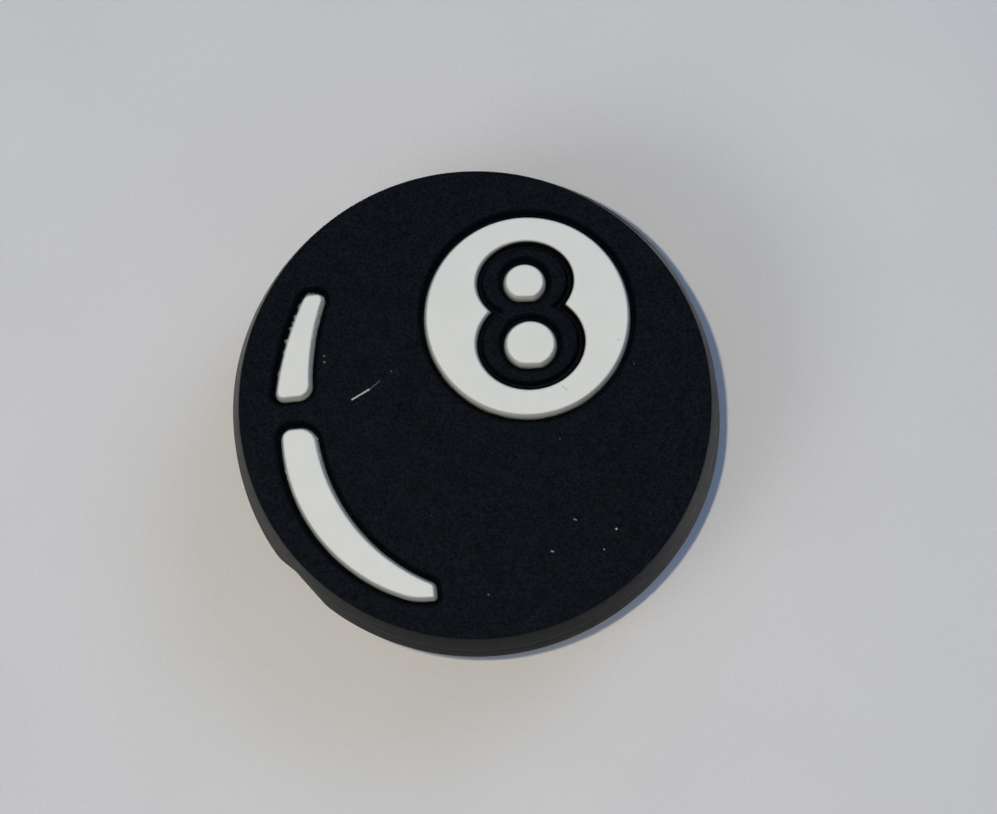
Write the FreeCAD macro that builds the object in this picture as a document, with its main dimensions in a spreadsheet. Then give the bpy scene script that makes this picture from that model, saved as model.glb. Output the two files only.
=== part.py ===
"""A clip-on shoe charm: a small black disc with a cartoon eight ball moulded into its face.

The disc is two black layers cast one on the other. The front layer has pockets that hold flat
inlays: a white roundel, the black figure 8 that stands in the roundel's opening, two white
islands in the loops of the 8, and two white strokes for the ball's shine. A groove with drafted
walls runs round every inlay. The back layer holds the anchor flange of a stud, whose neck and
button snap through a hole in a foam shoe.

Frame, in millimetres: the button's underside lies on Z = 0, the face looks along +Z, and +Y is
the top of the upright 8. The disc and the stud share the Z axis.
"""
import FreeCAD, Part
import collections
import math
import os

import Sketcher

SIZES = (
    ("base_radius", 14.24, "rim of the disc at its back face"),
    ("face_radius", 13.51, "rim of the disc at its face"),
    ("disc_thickness", 3.9, "front layer and back layer together"),
    ("back_layer", 1.4, "thickness of the back layer"),
    ("back_edge", 0.3, "rounding of the rim at the back face"),
    ("lip_edge", 0.12, "rounding of every edge that lies in the face"),
    ("inlay_depth", 1.3, "face to the underside of an inlay"),
    ("groove_depth", 0.9, "face to the floor of a groove"),
    ("groove_width", 0.5, "width of a groove at the face"),
    ("white_lean", 0.21, "how far a white wall leans out over the groove's depth"),
    ("black_lean", 0.14, "the same for a black wall"),
    ("waist_edge", 0.15, "rounding of the corners at the waist of the 8"),
    ("roundel_x", 3.445, "centre of the roundel"),
    ("roundel_y", 4.73, "centre of the roundel"),
    ("roundel_wide", 5.76, "half width of the roundel"),
    ("roundel_high", 5.70, "half height of the roundel"),
    ("digit_x", 3.49, "centre line of the 8"),
    ("upper_y", 6.74, "centre of the 8's upper loop"),
    ("upper_wide", 2.37, "half width of the upper loop"),
    ("upper_high", 1.89, "half height of the upper loop"),
    ("lower_y", 3.19, "centre of the 8's lower loop"),
    ("lower_wide", 2.69, "half width of the lower loop"),
    ("lower_high", 2.28, "half height of the lower loop"),
    ("upper_island_y", 6.73, "centre of the island in the upper loop"),
    ("upper_island_wide", 1.05, "half width of the island in the upper loop"),
    ("upper_island_high", 0.95, "half height of the island in the upper loop"),
    ("lower_island_y", 3.115, "centre of the island in the lower loop"),
    ("lower_island_wide", 1.35, "half width of the island in the lower loop"),
    ("lower_island_high", 1.24, "half height of the island in the lower loop"),
    ("island_turn", -5.4, "turn of both islands, in degrees"),
    ("island_flat", 0.09, "how much of an island's oval its flat lower edge takes off"),
    ("flat_corner", 0.6, "rounding of the corners of that flat edge"),
    ("upper_outer_x", 7.05, "upper highlight, centre of its outer arc"),
    ("upper_outer_y", -2.19, "upper highlight, centre of its outer arc"),
    ("upper_outer_arc", 18.62, "upper highlight, radius of its outer arc"),
    ("upper_inner_x", 4.85, "upper highlight, centre of its inner arc"),
    ("upper_inner_y", 1.14, "upper highlight, centre of its inner arc"),
    ("upper_inner_arc", 14.24, "upper highlight, radius of its inner arc"),
    ("upper_top", 7.10, "upper highlight, height of its level top end"),
    ("upper_bottom", 1.37, "upper highlight, height of its level bottom end"),
    ("upper_outer_top", 0.4, "upper highlight, corner from its top end to its outer arc"),
    ("upper_outer_bottom", 0.3, "upper highlight, corner from its outer arc to its bottom end"),
    ("upper_inner_bottom", 0.65, "upper highlight, corner from its bottom end to its inner arc"),
    ("upper_inner_top", 0.25, "upper highlight, corner from its inner arc to its top end"),
    ("lower_outer_x", -1.13, "lower highlight, centre of its outer arc"),
    ("lower_outer_y", -1.38, "lower highlight, centre of its outer arc"),
    ("lower_outer_arc", 9.94, "lower highlight, radius of its outer arc"),
    ("lower_inner_x", 1.585, "lower highlight, centre of its inner arc"),
    ("lower_inner_y", -0.39, "lower highlight, centre of its inner arc"),
    ("lower_inner_arc", 10.90, "lower highlight, radius of its inner arc"),
    ("lower_top", -0.56, "lower highlight, height of its level top end"),
    ("lower_bottom", -10.785, "lower highlight, height of its lower edge where that is level"),
    ("lower_right", -3.33, "lower highlight, place of its upright right end"),
    ("lower_outer_top", 0.6, "lower highlight, corner from its top end to its outer arc"),
    ("lower_bend", 3.8, "lower highlight, bend from its outer arc to its level lower edge"),
    ("lower_tip", 0.15, "lower highlight, corner from its lower edge to its right end"),
    ("lower_inner_right", 0.4, "lower highlight, corner from its right end to its inner arc"),
    ("lower_inner_top", 0.8, "lower highlight, corner from its inner arc to its top end"),
    ("nick_turn", -143.7, "direction of the nick in the back layer's rim, in degrees"),
    ("nick_depth", 0.25, "depth of the nick"),
    ("nick_long", 2.8, "length of the nick's gentle side"),
    ("nick_short", 1.4, "length of the nick's steep side"),
    ("neck_radius", 3.75, "neck of the stud"),
    ("neck_length", 4.5, "clear length of the neck, from the button to the disc"),
    ("button_radius", 5.75, "button of the stud"),
    ("button_thickness", 1.8, "button of the stud"),
    ("button_edge", 0.6, "rounding of the button's edges"),
    ("dimple_radius", 2.4, "gate dimple in the button's underside"),
    ("dimple_depth", 0.3, "gate dimple in the button's underside"),
    ("anchor_radius", 6.5, "anchor flange of the stud"),
    ("anchor_thickness", 0.8, "anchor flange of the stud"),
)

BACK = "Sizes.button_thickness + Sizes.neck_length"
FACE = BACK + " + Sizes.disc_thickness"
FLOOR = FACE + " - Sizes.groove_depth"
BELOW_FLOOR = "Sizes.disc_thickness - Sizes.back_layer - Sizes.groove_depth"
GROOVE = "Sizes.groove_depth"
FOOT = "Sizes.inlay_depth - Sizes.groove_depth"
ANCHOR_SEAT = "Sizes.back_layer - Sizes.anchor_thickness"
RIM_SLOPE = "(Sizes.base_radius - Sizes.face_radius) / Sizes.disc_thickness"
RIM_DRAFT = f"atan({RIM_SLOPE})"
FLOOR_RADIUS = f"Sizes.face_radius + {RIM_SLOPE} * Sizes.groove_depth"
WHITE_DRAFT = "atan(Sizes.white_lean / Sizes.groove_depth)"
BLACK_DRAFT = "atan(Sizes.black_lean / Sizes.groove_depth)"
# how far an outline grows from a white piece's edge at the face
WHITE_FOOT = "Sizes.white_lean"
BLACK_FOOT = "Sizes.groove_width - Sizes.black_lean"
# how far an outline grows from the black digit's edge at the face
DIGIT_FOOT = "Sizes.black_lean"
OPENING_FOOT = "Sizes.groove_width - Sizes.white_lean"

BOTH = ("upper", "lower")
# an oval outline: half width, half height, centre, turn, and what a flat lower edge takes off
Oval = collections.namedtuple("Oval", "wide high x y turn flat", defaults=(None, None))
ROUNDEL = Oval("Sizes.roundel_wide", "Sizes.roundel_high", "Sizes.roundel_x", "Sizes.roundel_y")
LOOPS = {
    which: Oval(f"Sizes.{which}_wide", f"Sizes.{which}_high", "Sizes.digit_x", f"Sizes.{which}_y")
    for which in BOTH
}
ISLANDS = {
    which: Oval(
        f"Sizes.{which}_island_wide",
        f"Sizes.{which}_island_high",
        "Sizes.digit_x",
        f"Sizes.{which}_island_y",
        "Sizes.island_turn",
        "Sizes.island_flat",
    )
    for which in BOTH
}
# a highlight's corners, in the order of its edges: top end, outer arc, lower edge, inner arc
HIGHLIGHT_CORNERS = {
    "upper": ("outer_top", "outer_bottom", "inner_bottom", "inner_top"),
    "lower": ("outer_top", "bend", "tip", "inner_right", "inner_top"),
}

# how a straight edge runs when its distance from the origin is measured along that axis
DIRECTIONS = {"X": "Vertical", "Y": "Horizontal"}
START, END, CENTRE = 1, 2, 3
ORIGIN = -1
LEVEL = 1e-6

doc = FreeCAD.newDocument("EightBallCharm")
sheet = doc.addObject("Spreadsheet::Sheet", "Sizes")


def fill_sheet():
    """Write every driving dimension to the sheet, one row each, and name its cell."""
    for row, (alias, value, meaning) in enumerate(SIZES, 1):
        sheet.set(f"A{row}", alias)
        sheet.set(f"B{row}", str(value))
        sheet.set(f"C{row}", meaning)
        sheet.setAlias(f"B{row}", alias)
    doc.recompute()


def size(alias):
    """One driving dimension, read from the sheet."""
    return float(sheet.get(alias))


def total(expression):
    """The present value of an expression on the sheet's cells."""
    return float(sheet.evalExpression(expression))


def new_body(label, height):
    """A body whose own origin stands at the given height above the button's underside."""
    body = doc.addObject("PartDesign::Body", label)
    body.Label = label
    body.setExpression("Placement.Base.z", height)
    return body


def new_sketch(body, name):
    """An empty sketch on the body's own XY plane."""
    sketch = body.newObject("Sketcher::SketchObject", name)
    plane = next(f for f in body.Origin.OriginFeatures if f.Role == "XY_Plane")
    sketch.AttachmentSupport = (plane, "")
    sketch.MapMode = "FlatFace"
    return sketch


def bind(sketch, constraint, expression):
    """Add a dimension to a sketch and drive it from the sheet."""
    index = sketch.addConstraint(constraint)
    sketch.setExpression(f"Constraints[{index}]", expression)


def circle(body, name, radius, lift=None):
    """A sketch with one circle about the body's axis, at a height above the body's own origin."""
    sketch = new_sketch(body, name)
    if lift:
        sketch.setExpression("AttachmentOffset.Base.z", lift)
    start = total(radius)
    geo = sketch.addGeometry(Part.Circle(FreeCAD.Vector(0, 0, 0), FreeCAD.Vector(0, 0, 1), start))
    sketch.addConstraint(Sketcher.Constraint("Coincident", geo, CENTRE, ORIGIN, START))
    bind(sketch, Sketcher.Constraint("Radius", geo, start), radius)
    return sketch


def near(curve, end):
    """A point on a curve, a little way in from one of its ends."""
    share = 0.05 if end == START else 0.95
    return curve.value(curve.FirstParameter + share * (curve.LastParameter - curve.FirstParameter))


def join(sketch, first, first_end, second, second_end, radius):
    """Join two edges with a corner of the given radius, and return the corner's number."""
    sketch.addConstraint(Sketcher.Constraint("Coincident", first, first_end, second, second_end))
    on_first = near(sketch.Geometry[first], first_end)
    on_second = near(sketch.Geometry[second], second_end)
    sketch.fillet(first, second, on_first, on_second, total(radius), True)
    return sketch.GeometryCount - 1


def oval(body, name, shape, grow):
    """A sketch of one ellipse, grown all round, with the sketch's own origin at its centre.

    A shape with a flat has a level edge that takes that much off the ellipse's lowest part, and
    meets it in rounded corners.
    """
    wide, high = f"{shape.wide} + {grow}", f"{shape.high} + {grow}"
    corner = f"Sizes.flat_corner + {grow}"
    sketch = new_sketch(body, name)
    sketch.setExpression("AttachmentOffset.Base.x", shape.x)
    sketch.setExpression("AttachmentOffset.Base.y", shape.y)
    if shape.turn:
        sketch.setExpression("AttachmentOffset.Rotation.Angle", f"{shape.turn} * 1 deg")
    half_wide, half_high = total(wide), total(high)
    curve = Part.Ellipse(FreeCAD.Vector(0, 0, 0), half_wide, half_high)
    if shape.flat:
        drop = math.asin(1 - total(shape.flat) / half_high)
        curve = Part.ArcOfEllipse(curve, -drop, math.pi + drop)
    oval_edge = sketch.addGeometry(curve)
    rounds = []
    if shape.flat:
        level_edge = sketch.addGeometry(Part.LineSegment(curve.EndPoint, curve.StartPoint))
        for curve_end, level_end in ((END, START), (START, END)):
            rounds.append(join(sketch, oval_edge, curve_end, level_edge, level_end, corner))
    major = sketch.GeometryCount
    sketch.exposeInternalGeometry(oval_edge)
    minor = major + 1
    sketch.addConstraint(Sketcher.Constraint("Horizontal", major))
    sketch.addConstraint(Sketcher.Constraint("Coincident", oval_edge, CENTRE, ORIGIN, START))
    bind(sketch, Sketcher.Constraint("Distance", major, 2 * half_wide), f"2 * ({wide})")
    bind(sketch, Sketcher.Constraint("Distance", minor, 2 * half_high), f"2 * ({high})")
    if shape.flat:
        sketch.addConstraint(Sketcher.Constraint("Horizontal", level_edge))
        reach = half_high - total(shape.flat)
        drop_to_edge = Sketcher.Constraint("DistanceY", level_edge, START, ORIGIN, START, reach)
        bind(sketch, drop_to_edge, f"({high}) - ({shape.flat})")
    for geo in rounds:
        bind(sketch, Sketcher.Constraint("Radius", geo, total(corner)), corner)
    return sketch


def crossing(centre, radius, x=None, y=None):
    """Where a circle meets an upright line (x given) or a level line (y given).

    Of the two crossings, the one on the left of the circle, or the lower one, counts.
    """
    if x is None:
        return FreeCAD.Vector(centre.x - math.sqrt(radius**2 - (y - centre.y) ** 2), y, 0)
    return FreeCAD.Vector(x, centre.y - math.sqrt(radius**2 - (x - centre.x) ** 2), 0)


def arc_between(centre, radius, first, last):
    """The arc that runs anticlockwise about a centre from one point to another."""
    angles = [math.atan2(p.y - centre.y, p.x - centre.x) for p in (first, last)]
    if angles[1] < angles[0]:
        angles[1] += 2 * math.pi
    round_edge = Part.Circle(centre, FreeCAD.Vector(0, 0, 1), radius)
    return Part.ArcOfCircle(round_edge, *angles)


def highlight(body, name, which, grow):
    """A sketch with one highlight, grown all round, with every corner rounded.

    Its edges are a level top end, a long outer arc, a level lower edge, an upright right end in
    the lower highlight only, and a long inner arc.
    """
    sketch = new_sketch(body, name)
    outer_arc = f"Sizes.{which}_outer_arc + {grow}"
    inner_arc = f"Sizes.{which}_inner_arc - ({grow})"
    top, bottom = f"Sizes.{which}_top + {grow}", f"Sizes.{which}_bottom - ({grow})"
    right = f"Sizes.lower_right + {grow}"
    outer = FreeCAD.Vector(size(f"{which}_outer_x"), size(f"{which}_outer_y"), 0)
    inner = FreeCAD.Vector(size(f"{which}_inner_x"), size(f"{which}_inner_y"), 0)
    outer_top = crossing(outer, total(outer_arc), y=total(top))
    inner_top = crossing(inner, total(inner_arc), y=total(top))
    ends = [crossing(outer, total(outer_arc), y=total(bottom))]
    if which == "upper":
        ends.append(crossing(inner, total(inner_arc), y=total(bottom)))
    else:
        ends.append(FreeCAD.Vector(total(right), total(bottom), 0))
        ends.append(crossing(inner, total(inner_arc), x=total(right)))

    top_edge, outer_edge, inner_edge, *end_edges = sketch.addGeometry(
        [
            Part.LineSegment(outer_top, inner_top),
            arc_between(outer, total(outer_arc), outer_top, ends[0]),
            arc_between(inner, total(inner_arc), inner_top, ends[-1]),
            *(Part.LineSegment(first, last) for first, last in zip(ends, ends[1:])),
        ]
    )
    meetings = [(outer_edge, START, top_edge, START), (outer_edge, END, end_edges[0], START)]
    meetings += [(edge, END, following, START) for edge, following in zip(end_edges, end_edges[1:])]
    meetings += [(inner_edge, END, end_edges[-1], END), (inner_edge, START, top_edge, END)]
    rounds = []
    for meeting, corner in zip(meetings, HIGHLIGHT_CORNERS[which]):
        radius = f"Sizes.{which}_{corner} + {grow}"
        rounds.append((join(sketch, *meeting, radius), radius))

    for geo, radius in rounds:
        bind(sketch, Sketcher.Constraint("Radius", geo, total(radius)), radius)
    for edge, radius, middle, place in (
        (outer_edge, outer_arc, "outer", outer),
        (inner_edge, inner_arc, "inner", inner),
    ):
        bind(sketch, Sketcher.Constraint("Radius", edge, total(radius)), radius)
        at_x = Sketcher.Constraint("DistanceX", ORIGIN, START, edge, CENTRE, place.x)
        bind(sketch, at_x, f"Sizes.{which}_{middle}_x")
        at_y = Sketcher.Constraint("DistanceY", ORIGIN, START, edge, CENTRE, place.y)
        bind(sketch, at_y, f"Sizes.{which}_{middle}_y")
    straights = [(top_edge, "Y", top), (end_edges[0], "Y", bottom), (end_edges[-1], "X", right)]
    for edge, axis, place in straights[: 1 + len(end_edges)]:
        sketch.addConstraint(Sketcher.Constraint(DIRECTIONS[axis], edge))
        distance = Sketcher.Constraint(f"Distance{axis}", ORIGIN, START, edge, START, total(place))
        bind(sketch, distance, place)
    return sketch


def outline(body, name, shape, grow):
    """A sketch with the outline of an oval, or of the highlight of that name, grown all round."""
    draw = oval if isinstance(shape, Oval) else highlight
    return draw(body, name, shape, grow)


def add_feature(kind, body, name, sketch, up=None, up_draft=None, down=None, down_draft=None):
    """A Pad or a Pocket that runs up or down from a sketch, or both ways.

    A draft widens the outline away from the sketch, and a negative one narrows it. The feature
    must leave the body with more material if it is a Pad, and with less if it is a Pocket.
    """
    before = body.Shape.Volume if body.Tip else 0.0
    sides = [(length, draft) for length, draft in ((up, up_draft), (down, down_draft)) if length]
    feature = body.newObject(f"PartDesign::{kind}", name)
    feature.Profile = sketch
    feature.Reversed = (kind == "Pocket") == bool(up)
    if len(sides) == 2:
        feature.SideType = "Two sides"
    for suffix, (length, draft) in zip(("", "2"), sides):
        feature.setExpression(f"Length{suffix}", length)
        if draft:
            feature.setExpression(f"TaperAngle{suffix}", draft)
    doc.recompute()
    change = body.Shape.Volume - before
    if change == 0 or (change > 0) != (kind == "Pad"):
        raise RuntimeError(f"{body.Label}.{name} changed the volume by {change:.4f} mm3")
    return feature


def round_edges(body, name, radius, chosen):
    """Round every edge of the body's last feature for which chosen(edge) is true."""
    base = body.Tip
    names = [f"Edge{n}" for n, edge in enumerate(base.Shape.Edges, 1) if chosen(edge)]
    if not names:
        raise RuntimeError(f"{body.Label}.{name} has no edge to round")
    fillet = body.newObject("PartDesign::Fillet", name)
    fillet.Base = (base, names)
    fillet.setExpression("Radius", radius)
    doc.recompute()
    if "Invalid" in fillet.State:
        raise RuntimeError(f"{body.Label}.{name} can't be rounded")


def lies_at(expression):
    """A test for edges that lie level at a height above the body's own origin."""
    height = total(expression)
    return lambda edge: all(abs(p.z - height) < LEVEL for p in edge.discretize(5))


def is_round(edge):
    """Whether an edge is a whole circle."""
    return edge.Closed and edge.Curve.TypeId == "Part::GeomCircle"


def at_waist(edge):
    """Whether an edge climbs through the waist of the 8, between its two islands."""
    low = size("lower_y") + size("lower_island_high")
    high = size("upper_y") - size("upper_island_high")
    points = edge.discretize(5)
    climbs = abs(points[0].z - points[-1].z) > LEVEL
    return climbs and all(low < p.y < high for p in points)


def build_white_piece(label, shape):
    """A white inlay: a straight foot below the groove's floor, and drafted walls up to the face."""
    body = new_body(label, FLOOR)
    foot = outline(body, f"{label}_outline", shape, WHITE_FOOT)
    add_feature("Pad", body, f"{label}_plate", foot, GROOVE, f"-{WHITE_DRAFT}", FOOT)
    return body


def round_lips(body):
    """Round every edge that lies in the face."""
    round_edges(body, f"{body.Label}_lips", "Sizes.lip_edge", lies_at(GROOVE))


def build_roundel():
    """The white roundel. Its opening is two overlapping ovals that make an 8."""
    body = build_white_piece("number_roundel", ROUNDEL)
    for which, shape in LOOPS.items():
        opening = outline(body, f"{which}_opening_outline", shape, OPENING_FOOT)
        add_feature("Pocket", body, f"{which}_opening", opening, GROOVE, WHITE_DRAFT, FOOT)
    round_edges(body, "opening_waist", "Sizes.waist_edge", at_waist)
    round_lips(body)


def build_digit():
    """The black 8: a foot that fills the roundel's opening, and a narrower stroke above it."""
    body = new_body("digit_eight", FLOOR)
    for which, shape in LOOPS.items():
        foot = outline(body, f"{which}_foot_outline", shape, OPENING_FOOT)
        add_feature("Pad", body, f"{which}_foot", foot, down=FOOT)
    for which, shape in LOOPS.items():
        stroke = outline(body, f"{which}_stroke_outline", shape, DIGIT_FOOT)
        add_feature("Pad", body, f"{which}_stroke", stroke, GROOVE, f"-{BLACK_DRAFT}")
    for which, shape in ISLANDS.items():
        cut_pocket(body, which, shape)
    round_lips(body)


def cut_pocket(body, which, shape):
    """Cut a stepped pocket for an inlay.

    Its upper step is the groove's outer wall and floor. Its lower step fits the inlay's foot.
    """
    groove = outline(body, f"{which}_groove_outline", shape, BLACK_FOOT)
    add_feature("Pocket", body, f"{which}_groove", groove, GROOVE, BLACK_DRAFT)
    seat = outline(body, f"{which}_seat_outline", shape, WHITE_FOOT)
    add_feature("Pocket", body, f"{which}_seat", seat, down=FOOT)


def build_front_layer():
    """The black front of the disc, with a pocket for each of the inlays in its face."""
    body = new_body("black_body", FLOOR)
    rim = circle(body, "rim_outline", FLOOR_RADIUS)
    add_feature("Pad", body, "disc", rim, GROOVE, f"-{RIM_DRAFT}", BELOW_FLOOR, RIM_DRAFT)
    cut_pocket(body, "roundel", ROUNDEL)
    for which in BOTH:
        cut_pocket(body, which, which)
    round_lips(body)


def nick_outline(body, name):
    """A sketch, turned to the nick's place on the rim, of the sliver that is missing there.

    Its X axis points out through the rim. The cut is deepest on that axis. From there it runs
    straight on the gentle side, and slants out to the rim on the steep side.
    """
    sketch = new_sketch(body, name)
    sketch.setExpression("AttachmentOffset.Rotation.Angle", "Sizes.nick_turn * 1 deg")
    deep = "Sizes.base_radius - Sizes.nick_depth"
    outside = "Sizes.base_radius + Sizes.nick_depth"
    corners = (
        (deep, None),
        (deep, "Sizes.nick_long"),
        (outside, "Sizes.nick_long"),
        (outside, "-Sizes.nick_short"),
        ("Sizes.base_radius", "-Sizes.nick_short"),
    )
    points = [FreeCAD.Vector(total(x), total(y) if y else 0, 0) for x, y in corners]
    ends = points[1:] + points[:1]
    lines = sketch.addGeometry([Part.LineSegment(a, b) for a, b in zip(points, ends)])
    for line, following in zip(lines, lines[1:] + lines[:1]):
        sketch.addConstraint(Sketcher.Constraint("Coincident", line, END, following, START))
    for line, point, (x, y) in zip(lines, points, corners):
        bind(sketch, Sketcher.Constraint("DistanceX", ORIGIN, START, line, START, point.x), x)
        if y:
            at_y = Sketcher.Constraint("DistanceY", ORIGIN, START, line, START, point.y)
            bind(sketch, at_y, y)
        else:
            sketch.addConstraint(Sketcher.Constraint("PointOnObject", line, START, ORIGIN))
    return sketch


def build_back_layer():
    """The black back of the disc: a hole for the stud's neck and a recess for its anchor."""
    body = new_body("backing_layer", BACK)
    rim = circle(body, "back_rim_outline", "Sizes.base_radius")
    add_feature("Pad", body, "back_disc", rim, "Sizes.back_layer", f"-{RIM_DRAFT}")
    round_edges(body, "back_edge", "Sizes.back_edge", lies_at("0"))
    nick = nick_outline(body, "nick_outline")
    add_feature("Pocket", body, "nick", nick, "Sizes.back_layer")
    hole = circle(body, "neck_hole_outline", "Sizes.neck_radius")
    add_feature("Pocket", body, "neck_hole", hole, "Sizes.back_layer")
    recess = circle(body, "anchor_recess_outline", "Sizes.anchor_radius", ANCHOR_SEAT)
    add_feature("Pocket", body, "anchor_recess", recess, "Sizes.anchor_thickness")


def build_stud():
    """The stud: a button with rounded edges, a neck, and the anchor flange in the back layer."""
    body = new_body("shoe_stud", "0")
    button = circle(body, "button_outline", "Sizes.button_radius")
    add_feature("Pad", body, "button", button, "Sizes.button_thickness")
    round_edges(body, "button_edges", "Sizes.button_edge", is_round)
    dimple = circle(body, "dimple_outline", "Sizes.dimple_radius")
    add_feature("Pocket", body, "dimple", dimple, "Sizes.dimple_depth")
    top = "Sizes.button_thickness"
    neck = circle(body, "neck_outline", "Sizes.neck_radius", top)
    add_feature("Pad", body, "neck", neck, f"Sizes.neck_length + {ANCHOR_SEAT}")
    under_anchor = f"{BACK} + {ANCHOR_SEAT}"
    anchor = circle(body, "anchor_outline", "Sizes.anchor_radius", under_anchor)
    add_feature("Pad", body, "anchor", anchor, "Sizes.anchor_thickness")


def check_and_write():
    """Refuse a failed or invalid object, then write one STEP file for each body."""
    for thing in doc.Objects:
        if "Invalid" in thing.State or "Error" in thing.State:
            raise RuntimeError(f"{thing.Label} is {thing.State}")
    bodies = [thing for thing in doc.Objects if thing.TypeId == "PartDesign::Body"]
    for body in bodies:
        if body.Shape.isNull() or not body.Shape.isValid() or len(body.Shape.Solids) != 1:
            raise RuntimeError(f"{body.Label} is not one valid solid")
    os.makedirs("parts", exist_ok=True)
    for body in bodies:
        body.Shape.exportStep(f"parts/{body.Label}.step")
        box = body.Shape.optimalBoundingBox()
        print(f"{body.Label}: {body.Shape.Volume:.1f} mm3, z {box.ZMin:.2f} to {box.ZMax:.2f}")


fill_sheet()
build_front_layer()
build_roundel()
build_digit()
for which in BOTH:
    round_lips(build_white_piece(f"{which}_counter", ISLANDS[which]))
    round_lips(build_white_piece(f"{which}_highlight", which))
build_back_layer()
build_stud()
doc.recompute()
check_and_write()
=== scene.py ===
"""The looks of the eight-ball shoe charm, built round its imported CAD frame.

Each piece of soft plastic is a mesh lofted from rings of points. An outline is a function that
gives one ring, grown by so many millimetres, and always with the same number of points. A profile
is a list of (grow, height) pairs that the rings follow. Lengths are millimetres until a mesh is
made.
"""

import math

import bmesh
import bpy
from mathutils import Matrix, Vector, kdtree, noise
from mathutils.geometry import delaunay_2d_cdt


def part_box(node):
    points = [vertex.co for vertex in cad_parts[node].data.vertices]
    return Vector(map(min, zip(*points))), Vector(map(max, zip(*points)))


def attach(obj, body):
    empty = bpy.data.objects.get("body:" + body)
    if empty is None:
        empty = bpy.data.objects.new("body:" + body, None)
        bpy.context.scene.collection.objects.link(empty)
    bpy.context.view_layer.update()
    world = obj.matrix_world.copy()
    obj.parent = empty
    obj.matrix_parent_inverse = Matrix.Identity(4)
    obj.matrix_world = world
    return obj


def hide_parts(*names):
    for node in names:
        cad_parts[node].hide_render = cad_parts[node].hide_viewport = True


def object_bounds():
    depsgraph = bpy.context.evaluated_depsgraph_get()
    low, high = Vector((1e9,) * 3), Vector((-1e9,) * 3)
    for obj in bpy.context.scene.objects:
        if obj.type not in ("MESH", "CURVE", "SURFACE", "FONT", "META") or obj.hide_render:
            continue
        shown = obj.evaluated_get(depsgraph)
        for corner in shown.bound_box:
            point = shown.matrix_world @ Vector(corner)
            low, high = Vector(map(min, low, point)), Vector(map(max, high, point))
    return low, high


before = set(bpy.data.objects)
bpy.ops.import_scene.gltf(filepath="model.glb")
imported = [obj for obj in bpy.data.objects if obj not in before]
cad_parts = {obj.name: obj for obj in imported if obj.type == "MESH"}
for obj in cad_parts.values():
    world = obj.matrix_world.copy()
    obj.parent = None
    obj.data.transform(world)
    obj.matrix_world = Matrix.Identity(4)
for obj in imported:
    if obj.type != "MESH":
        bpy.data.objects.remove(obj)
cad_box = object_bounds()

MM = 0.001

# heights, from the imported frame
FACE = cad_box[1].z / MM
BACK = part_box("backing_layer")[0].z / MM
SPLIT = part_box("backing_layer")[1].z / MM
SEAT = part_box("number_roundel")[0].z / MM
GROOVE_DEPTH = 0.9
FLOOR = FACE - GROOVE_DEPTH
# how far below the grooves' floor a white piece's upright foot ends
FOOT_DROP = 0.02

# the grooves and their drafted walls
GROOVE_WIDTH = 0.5
WHITE_LEAN = 0.21
BLACK_LEAN = 0.14
LIP = 0.12
LIP_STEPS = 5
FLOOR_SAG = 0.05
SEAT_GAP = 0.005
OPENING_FOOT = GROOVE_WIDTH - WHITE_LEAN

# the disc's rim
SPLIT_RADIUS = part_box("black_body")[1].x / MM
RIM_LEAN = 0.187
BACK_EDGE = 0.3
SEAM_EDGE = 0.02
NICK_TURN = math.radians(-143.7)
NICK_DEPTH = 0.25
NICK_STEEP = 1.4
# how sharply the nick starts
NICK_BLEND = 0.05
# where the back layer's rim leaves the round: the middle of the stretch in degrees, how far out,
# and the degrees to each side
RIM_SWELLS = ((9, -0.19, 35), (48, 0.06, 30), (186, -0.065, 25))

# the islands: half width and half height, the turn of both, and what their flat edge takes off
ISLANDS = {"upper": (1.05, 0.95), "lower": (1.35, 1.24)}
ISLAND_TURN = math.radians(-5.4)
ISLAND_FLAT = 0.09
FLAT_BLEND = 0.06

# the 8: half heights and width of its two ovals, and how rounded its waist is, for the
# opening in the roundel and for the black stroke
EIGHT_LOWER_HIGH = 2.28
EIGHT_UPPER_WIDE = 2.37
EIGHT_UPPER_HIGH = 1.89
OPENING_WAIST = 0.15
DIGIT_WAIST = 0.04

# the stud
NECK = 3.75
BUTTON = 5.75
BUTTON_TOP = 1.8
BUTTON_EDGE = 0.6
DIMPLE = 2.4
DIMPLE_DEPTH = 0.3
# the gate's pit in the middle of the dimple
GATE_INNER = 0.4
GATE = 0.55
GATE_DEPTH = 0.12
ANCHOR = 6.5
ANCHOR_THICKNESS = 0.8
NECK_FILLET = 0.35

# marks on the face: start, end, half width and tone
FACE_MARKS = (
    ((-6.95, 0.86), (-5.92, 1.35), 0.06, 0.42),
    ((-5.88, 1.37), (-5.31, 1.75), 0.05, 0.07),
    ((-8.34, 3.52), (-8.32, 3.52), 0.07, 0.10),
    ((-8.36, 3.16), (-8.33, 3.17), 0.07, 0.14),
    ((7.30, -7.96), (7.32, -7.96), 0.07, 0.40),
    ((4.99, -7.18), (5.10, -7.24), 0.06, 0.16),
    ((3.53, -8.87), (3.62, -8.90), 0.06, 0.25),
    ((6.49, -9.05), (6.51, -9.05), 0.05, 0.30),
    ((-0.26, -10.98), (-0.24, -10.98), 0.07, 0.10),
)
ROUNDEL_MARKS = (
    ((5.03, 0.50), (5.32, 0.22), 0.035, 0.30),
    ((8.49, 2.84), (8.51, 2.82), 0.05, 0.35),
)
ROUNDEL_CENTRE = (3.445, 4.73)

# how finely round things are divided
RIM_POINTS = 720
OVAL_POINTS = 288
EIGHT_POINTS = 480
STUD_POINTS = 256
CORNER_STEPS = 8
END_STEPS = 8
ARC_STEPS = 110
CAP_SPACING = 0.45
LEAST_CORNER = 0.02

# flash: how far below the face it reaches furthest out, and how thick it is there
FLASH_DROP = 0.34
FLASH_THICK = 0.10
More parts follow.
